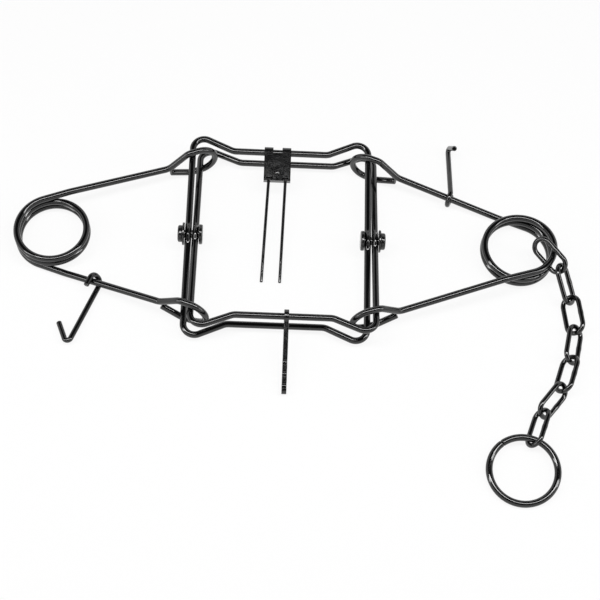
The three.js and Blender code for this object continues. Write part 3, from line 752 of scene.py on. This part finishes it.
# Safety hooks
def hook_corners(style):
    swing = spring_r + HOOK_GAP + HOOK_WIRE / 2
    lean, droop, step, side = style["lean"], style["droop"], style["step"], style["side"]
    shank = unit(vec(-math.sin(lean), math.cos(lean) * math.cos(droop), -math.sin(droop)))
    tip_side = vec(1, 0, 0) if side > 0 else vec(0, math.sin(droop), math.cos(droop))
    start = vec(-step / 2, HOOK_WIRE / 2, -side * swing)
    bend = start + shank * HOOK_SHANK
    tip = bend - shank * HOOK_TIP * math.cos(HOOK_TIP_ANGLE)
    tip = tip + tip_side * HOOK_TIP * math.sin(HOOK_TIP_ANGLE)
    return [
        (vec(step / 2, HOOK_TAIL, side * swing), 0),
        (vec(step / 2, -swing, side * swing), swing),
        (vec(-step / 2, -swing, -side * swing), swing),
        (start, HOOK_BEND_RADIUS),
        (bend, HOOK_POINT_RADIUS),
        (tip, 0),
    ]


def on_leg(sizes, u):
    """A point of the straight part of the leg, u from its eye towards the coil."""
    run = sizes.leg - EYE_SPLIT - LEG_LEVEL_RUN
    return leg_point(sizes, 1, -u, -sizes.half * (u - EYE_SPLIT) / run)


def make_hook(side, style):
    sizes = SPRINGS[side]
    centre = on_leg(sizes, style["eye"])
    to_coil = unit(on_leg(sizes, style["eye"] + SPRING_WIRE) - centre)
    outward = vec(math.sin(sizes.angle), math.cos(sizes.angle), 0)
    place = SPRING_PLACE[side] @ basis(to_coil, outward, centre)
    route = rounded(hook_corners(style), step=HOOK_BEND_STEP)
    wire(
        side + "_hook", route, HOOK_WIRE / 2, vec(1, 0, 0), place, side + "_hook",
        [side + "_safety_hook"], sides=HOOK_SIDES,
    )


# Trigger: bent plate, wire clamp, rivet and two wires
knuckle = rod_r + GAP
plate_top = knuckle + TRIGGER_SHEET
wire_z = plate_top + GAP + TRIGGER_WIRE / 2
clamp_far = TRIGGER_SHEET + CLAMP_SETBACK - TRIGGER_LENGTH
clamp_middle = clamp_far + CLAMP_LENGTH / 2


def trigger_frame():
    """The trigger on its bar, tilted until the free ends of its wires are just above the floor."""
    drop = bar_above - TRIGGER_WIRE / 2 - GAP
    tilt = math.asin(drop / math.hypot(TRIGGER_WIRE_REACH, wire_z))
    return (
        JAW_PLACE["jaw_trigger"]
        @ shift(TRIGGER_CENTRE_X + jaw_pitch / 2, bar_height, 0)
        @ turn("X", tilt + math.atan2(wire_z, TRIGGER_WIRE_REACH) - jaw_angle)
    )


trigger_place = trigger_frame()
clamp_centre = trigger_place @ shift(0, clamp_middle, 0)


def prism(name, outline, width, place, nodes):
    """A plate of the given width along X, with its outline in Y and Z."""
    n = len(outline)
    points = [(x, y, z) for x in (-width / 2, width / 2) for y, z in outline]
    faces = [tuple(range(n)), tuple(range(n, 2 * n))[::-1]]
    faces += [(j, n + j, n + (j + 1) % n, (j + 1) % n) for j in range(n)]
    world = moved(place, np.array(points, float))
    return mesh_object(name, world, faces, None, "plate", nodes, smooth=False)


def arc(middle, r, start, end, steps):
    """Points of an arc around the point (middle, 0)."""
    return [(middle + r * math.cos(a), r * math.sin(a)) for a in np.linspace(start, end, steps)]


def plate_outline():
    wrap_end = math.pi / 2 - KNUCKLE_WRAP
    outline = [(-TRIGGER_LENGTH, knuckle)]
    outline += arc(0, knuckle, math.pi / 2, wrap_end, KNUCKLE_STEPS)
    outline += arc(0, plate_top, wrap_end, math.pi / 2, KNUCKLE_STEPS)
    outline += [
        (TRIGGER_SHEET - TRIGGER_LENGTH, plate_top),
        (TRIGGER_SHEET - TRIGGER_LENGTH, plate_top + TRIGGER_FLANGE),
        (-TRIGGER_LENGTH, plate_top + TRIGGER_FLANGE),
    ]
    return outline


def knuckle_slot():
    far = plate_top + CUT_OVERRUN
    low = (-KNUCKLE_SLOT / 2, -KNUCKLE_SLOT_DEPTH, -2 * far)
    high = (KNUCKLE_SLOT / 2, far, 2 * far)
    return block(trigger_place, low, high)


def wire_hole(sign):
    at = shift(sign * TRIGGER_WIRE_SPACING / 2, TRIGGER_SHEET / 2 - TRIGGER_LENGTH, wire_z)
    lengthwise = turn("Z", math.pi / 2)
    place = trigger_place @ at @ lengthwise
    return cylinder(place, TRIGGER_WIRE / 2 + GAP, TRIGGER_SHEET + CUT_OVERRUN)


def rivet_hole():
    upright = turn("Y", math.pi / 2)
    return cylinder(clamp_centre @ upright, TRIGGER_RIVET_DIA / 2 + GAP, 4 * plate_top)


def make_bracket():
    bracket = prism("trigger_plate", plate_outline(), TRIGGER_WIDTH, trigger_place, ["trigger_bracket"])
    carve(bracket, knuckle_slot(), wire_hole(-1), wire_hole(1), rivet_hole())
    bevelled(bracket, PLATE_BEVEL)
    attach(bracket, "trigger")


def clamp_outline():
    low = plate_top + GAP
    roof = low + TRIGGER_WIRE + GAP
    inside = TRIGGER_WIRE_SPACING / 2 - TRIGGER_WIRE / 2 - GAP
    outside = inside + TRIGGER_WIRE + 2 * GAP
    half_shape = [
        (inside, low),
        (inside, roof),
        (outside, roof),
        (outside, low),
        (outside + CLAMP_SHEET, low),
        (outside + CLAMP_SHEET, roof + CLAMP_SHEET),
        (inside - CLAMP_SHEET, roof + CLAMP_SHEET),
        (inside - CLAMP_SHEET, low + CLAMP_SHEET),
    ]
    return half_shape + [(-x, z) for x, z in reversed(half_shape)]


def make_clamp():
    place = clamp_centre @ turn("Z", -math.pi / 2)
    clamp = prism("trigger_wire_clamp", clamp_outline(), CLAMP_LENGTH, place, ["trigger_clamp"])
    carve(clamp, rivet_hole())
    bevelled(clamp, CLAMP_BEVEL)
    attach(clamp, "trigger")


def make_trigger_rivet():
    under = knuckle - GAP
    over = plate_top + GAP + CLAMP_SHEET + GAP
    head = TRIGGER_RIVET_HEAD / 2
    shank = TRIGGER_RIVET_DIA / 2
    low = under - TRIGGER_RIVET_HEAD_HEIGHT
    pin = [(SMALL_RIVET_START, low)] + edge(head, low, -1, SMALL_RIVET_ROUND)
    pin += [(head, under), (shank, under), (shank, over), (head, over)]
    for a in np.linspace(DOME_FROM, DOME_TO, DOME_STEPS):
        pin.append((head * math.cos(a), over + TRIGGER_RIVET_HEAD_HEIGHT * math.sin(a)))
    lathe(
        "trigger_plate_rivet", pin, clamp_centre @ turn("Y", -math.pi / 2), "trigger",
        ["trigger_rivet"], lumps=RIVET_LUMPS, steps=SMALL_RIVET_SIDES,
    )


def make_feeler(sign, side):
    x = sign * TRIGGER_WIRE_SPACING / 2
    lean = TRIGGER_WIRE_LEAN - sign * TRIGGER_WIRE_SPREAD
    free = TRIGGER_WIRE_REACH - TRIGGER_LENGTH
    corners = [
        (vec(x, clamp_far + CLAMP_LENGTH + TRIGGER_WIRE, wire_z), 0),
        (vec(x, -TRIGGER_LENGTH, wire_z), BAR_BEND_RADIUS),
        (vec(x - free * math.tan(lean), -TRIGGER_WIRE_REACH, wire_z), 0),
    ]
    wire(
        "trigger_feeler_" + side, rounded(corners), TRIGGER_WIRE / 2, vec(0, 0, 1), trigger_place,
        "trigger", ["trigger_wire_" + side], sides=FEELER_SIDES, wobble=FEELER_WOBBLE,
    )


# Dog: flat bar with an eye and notches
dog_half = DOG_DEPTH / 2
dog_end = dog_half - DOG_REACH


def dog_frame():
    """The dog on its bar, tilted until its free end is just above the floor."""
    drop = bar_above - DOG_DEPTH / 2 - GAP
    return (
        JAW_PLACE["jaw_dog"]
        @ shift(DOG_CENTRE_X - jaw_pitch / 2, -bar_height, 0)
        @ turn("X", math.asin(drop / (DOG_REACH - dog_half)) + jaw_angle)
    )


def dog_outline():
    eye_r = DOG_EYE_DIA / 2
    join = math.asin(dog_half / eye_r)
    outline = arc(0, eye_r, math.pi + join, 3 * math.pi - join, DOG_EYE_STEPS)
    outline += arc(dog_end, dog_half, math.pi / 2, 3 * math.pi / 2, DOG_END_STEPS)
    return outline


def dog_cutter(place, radius):
    return cylinder(place, radius, DOG_THICKNESS * CUT_LENGTHS)


def make_dog():
    place = dog_frame()
    dog = prism("dog_bar", dog_outline(), DOG_THICKNESS, place, ["dog"])
    tools = [dog_cutter(place, rod_r + GAP)]
    notch_z = dog_half + DOG_NOTCH_WIDTH / 2 - DOG_NOTCH_DEPTH
    for i in range(DOG_NOTCH_COUNT):
        at = shift(0, dog_end + dog_half + i * DOG_NOTCH_PITCH, notch_z)
        tools.append(dog_cutter(place @ at, DOG_NOTCH_WIDTH / 2))
    carve(dog, *tools)
    bevelled(dog, DOG_BEVEL, DOG_BEVEL_ANGLE)
    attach(dog, "dog")


# Chain: welded links, then the ring with its butt seam
link_half = LINK_INNER_LENGTH / 2 - LINK_SLACK
link_x = (LINK_INNER_LENGTH + LINK_WIRE) / 2
link_y = (LINK_INNER_WIDTH + LINK_WIRE) / 2


def lying(roll):
    """How high the middle of a link lies whose lower edge is just above the floor."""
    return floor_z + link_r + LINK_FLOOR_GAP + link_y * abs(math.sin(roll))


def heading_way(heading, slope):
    flat = math.cos(slope)
    return vec(math.cos(heading) * flat, math.sin(heading) * flat, math.sin(slope))


def weld_shape(p):
    """How much thicker the link is at its weld, in the middle of one long side."""
    if p[1] < 0:
        return 1, 1
    swell = 1 + WELD_SWELL * math.exp(-((p[0] / WELD_HALF_LENGTH) ** 2))
    return swell, swell


def link_route():
    signs = ((1, -1), (1, 1), (-1, 1), (-1, -1))
    corners = [(vec(a * link_x, b * link_y, 0), link_y) for a, b in signs]
    return rounded(corners, True, LINK_BEND_STEP)


def link_slope(i, from_z):
    """A link's slope from where it hangs. The first's is given, the second's far end is as high as the
    third's middle, and the middles of the others lie just above the floor."""
    if i == 0:
        return FIRST_LINK_SLOPE
    if i == 1:
        return math.asin((lying(LINK_ROLLS[2]) - from_z) / (2 * link_half))
    return math.asin((lying(LINK_ROLLS[i]) - from_z) / link_half)


def make_link(i, start):
    """Link i, from where it hangs in the one before; returns where the next hangs and the way it lies."""
    heading, roll = LINK_HEADINGS[i], LINK_ROLLS[i]
    along = heading_way(heading, link_slope(i, start[2]))
    level = vec(-math.sin(heading), math.cos(heading), 0)
    lateral = level * math.cos(roll) + np.cross(along, level) * math.sin(roll)
    place = basis(along, lateral, start + along * link_half)
    number = i + 1
    wire(
        f"link_{number}_wire", link_route(), link_r, vec(0, 0, 1), place, f"link_{number}",
        [f"chain_link_{number}"], loop=True, sides=LINK_SIDES, shape=weld_shape, wobble=LINK_WOBBLE,
    )
    return start + along * 2 * link_half, along


def make_ring(start):
    outward = heading_way(RING_HEADING, -RING_TILT)
    across = heading_way(RING_HEADING + math.pi / 2, 0)
    place = basis(outward, across, start + outward * RING_RADIUS)
    sweep = 2 * math.pi - RING_SEAM_GAP / RING_RADIUS
    route = [
        vec(RING_RADIUS * math.cos(a), RING_RADIUS * math.sin(a), 0)
        for a in np.linspace(RING_SEAM, RING_SEAM + sweep, RING_STEPS)
    ]
    wire("ring_wire", route, ring_r, vec(0, 0, 1), place, "ring", ["anchor_ring"])


def make_chain():
    coil_middle = jaw_half + SPRINGS["right"].coil_x
    x, y = FIRST_LINK_FROM_COIL
    first_way = heading_way(LINK_HEADINGS[0], FIRST_LINK_SLOPE)
    hanging = vec(coil_middle + x, y, FIRST_LINK_ABOVE_PIVOT) - first_way * link_half
    for i in range(len(LINK_HEADINGS)):
        hanging, along = make_link(i, hanging)
    make_ring(hanging - along * ring_r)


# Stage: white floor and backdrop, which the camera sees mostly by their own glow
def maths(tree, operation, first, second):
    made = tree.nodes.new("ShaderNodeMath")
    made.operation = operation
    tree.links.new(first, made.inputs[0])
    tree.links.new(second, made.inputs[1])
    return made.outputs["Value"]


def seen_rays(tree):
    """1 for rays from the camera or by way of a mirror or glass, and otherwise 0."""
    rays = tree.nodes.new("ShaderNodeLightPath").outputs
    mirrored = maths(tree, "MAXIMUM", rays["Is Glossy Ray"], rays["Is Transmission Ray"])
    return maths(tree, "MAXIMUM", rays["Is Camera Ray"], mirrored)


def stage_material():
    mat = bpy.data.materials.new("stage_white")
    mat.use_nodes = True
    tree = mat.node_tree
    nodes, links = tree.nodes, tree.links
    shader = nodes["Principled BSDF"]
    grain = nodes.new("ShaderNodeTexNoise")
    grain.inputs["Scale"].default_value = STAGE_GRAIN_SCALE
    white = remapped(tree, grain.outputs["Fac"], 0, 1, STAGE_DARKEST, STAGE_LIGHTEST)
    links.new(white, shader.inputs["Base Color"])
    shader.inputs["Roughness"].default_value = STAGE_ROUGHNESS
    glow = nodes.new("ShaderNodeEmission")
    share = nodes.new("ShaderNodeMath")
    share.operation = "MULTIPLY"
    share.inputs[1].default_value = STAGE_GLOW
    links.new(seen_rays(tree), share.inputs[0])
    mix = nodes.new("ShaderNodeMixShader")
    links.new(share.outputs["Value"], mix.inputs["Fac"])
    links.new(shader.outputs["BSDF"], mix.inputs[1])
    links.new(glow.outputs["Emission"], mix.inputs[2])
    links.new(mix.outputs["Shader"], nodes["Material Output"].inputs["Surface"])
    return mat


def stage_object(name, points, faces, look):
    data = bpy.data.meshes.new(name)
    data.from_pydata(points, [], faces)
    made = linked(name, data)
    data.materials.append(look)


def make_stage():
    white = stage_material()
    signs = ((-1, -1), (1, -1), (1, 1), (-1, 1))
    floor_points = [(a * FLOOR_HALF, b * FLOOR_HALF, FLOOR_Z) for a, b in signs]
    stage_object("floor", floor_points, [(0, 1, 2, 3)], white)
    angles = [2 * math.pi * i / WALL_SIDES for i in range(WALL_SIDES)]
    rim = [(FLOOR_HALF * math.cos(a), FLOOR_HALF * math.sin(a)) for a in angles]
    wall_points = [(x, y, FLOOR_Z) for x, y in rim] + [(x, y, WALL_HEIGHT) for x, y in rim]
    wall_faces = []
    for i in range(WALL_SIDES):
        k = (i + 1) % WALL_SIDES
        wall_faces.append((i, k, WALL_SIDES + k, WALL_SIDES + i))
    stage_object("backdrop", wall_points, wall_faces, white)


# Light: a dim world and three strip lamps
def make_world():
    world = bpy.data.worlds.new("surroundings")
    bpy.context.scene.world = world
    world.use_nodes = True
    back = world.node_tree.nodes["Background"]
    back.inputs["Strength"].default_value = WORLD_STRENGTH
    back.inputs["Color"].default_value = (1, 1, 1, 1)


def make_lamp(name, at, width, depth, power):
    data = bpy.data.lights.new(name, "AREA")
    data.shape, data.size, data.size_y, data.energy = "RECTANGLE", width, depth, power
    made = linked(name, data)
    made.location = at
    made.rotation_euler = (Vector(LAMP_AIM) - Vector(at)).to_track_quat("-Z", "Y").to_euler()


# Camera: height, turn and roll fitted to the photo
def camera_stand():
    back = vec(
        math.cos(CAM_UP) * math.sin(CAM_TURN),
        -math.cos(CAM_UP) * math.cos(CAM_TURN),
        math.sin(CAM_UP),
    )
    right = vec(math.cos(CAM_TURN), math.sin(CAM_TURN), 0)
    up = np.cross(back, right)
    stand = np.eye(4)
    stand[:3, 0] = right * math.cos(CAM_ROLL) + up * math.sin(CAM_ROLL)
    stand[:3, 1] = -right * math.sin(CAM_ROLL) + up * math.cos(CAM_ROLL)
    stand[:3, 2] = back
    stand[:3, 3] = in_metres(CAM_AIM + back * CAM_FAR)
    return Matrix(stand)


def make_camera():
    data = bpy.data.cameras.new("camera")
    data.sensor_width = SENSOR_WIDTH
    data.lens = CAM_FOCAL * SENSOR_WIDTH / PHOTO_WIDTH
    camera = linked("camera", data)
    camera.matrix_world = camera_stand()
    bpy.context.scene.camera = camera
    bpy.context.scene.view_settings.view_transform = "Standard"


# The whole trap, then what it is shown with
make_jaw("jaw_trigger", "jaw_trigger_side")
make_jaw("jaw_dog", "jaw_dog_side")
make_rivet_and_washer("left")
make_rivet_and_washer("right")
make_spring("left")
make_spring("right")
make_hook("left", LEFT_HOOK)
make_hook("right", RIGHT_HOOK)
make_bracket()
make_clamp()
make_trigger_rivet()
make_feeler(-1, "left")
make_feeler(1, "right")
make_dog()
make_chain()
make_stage()
make_world()
for lamp in LAMPS:
    make_lamp(**lamp)
make_camera()
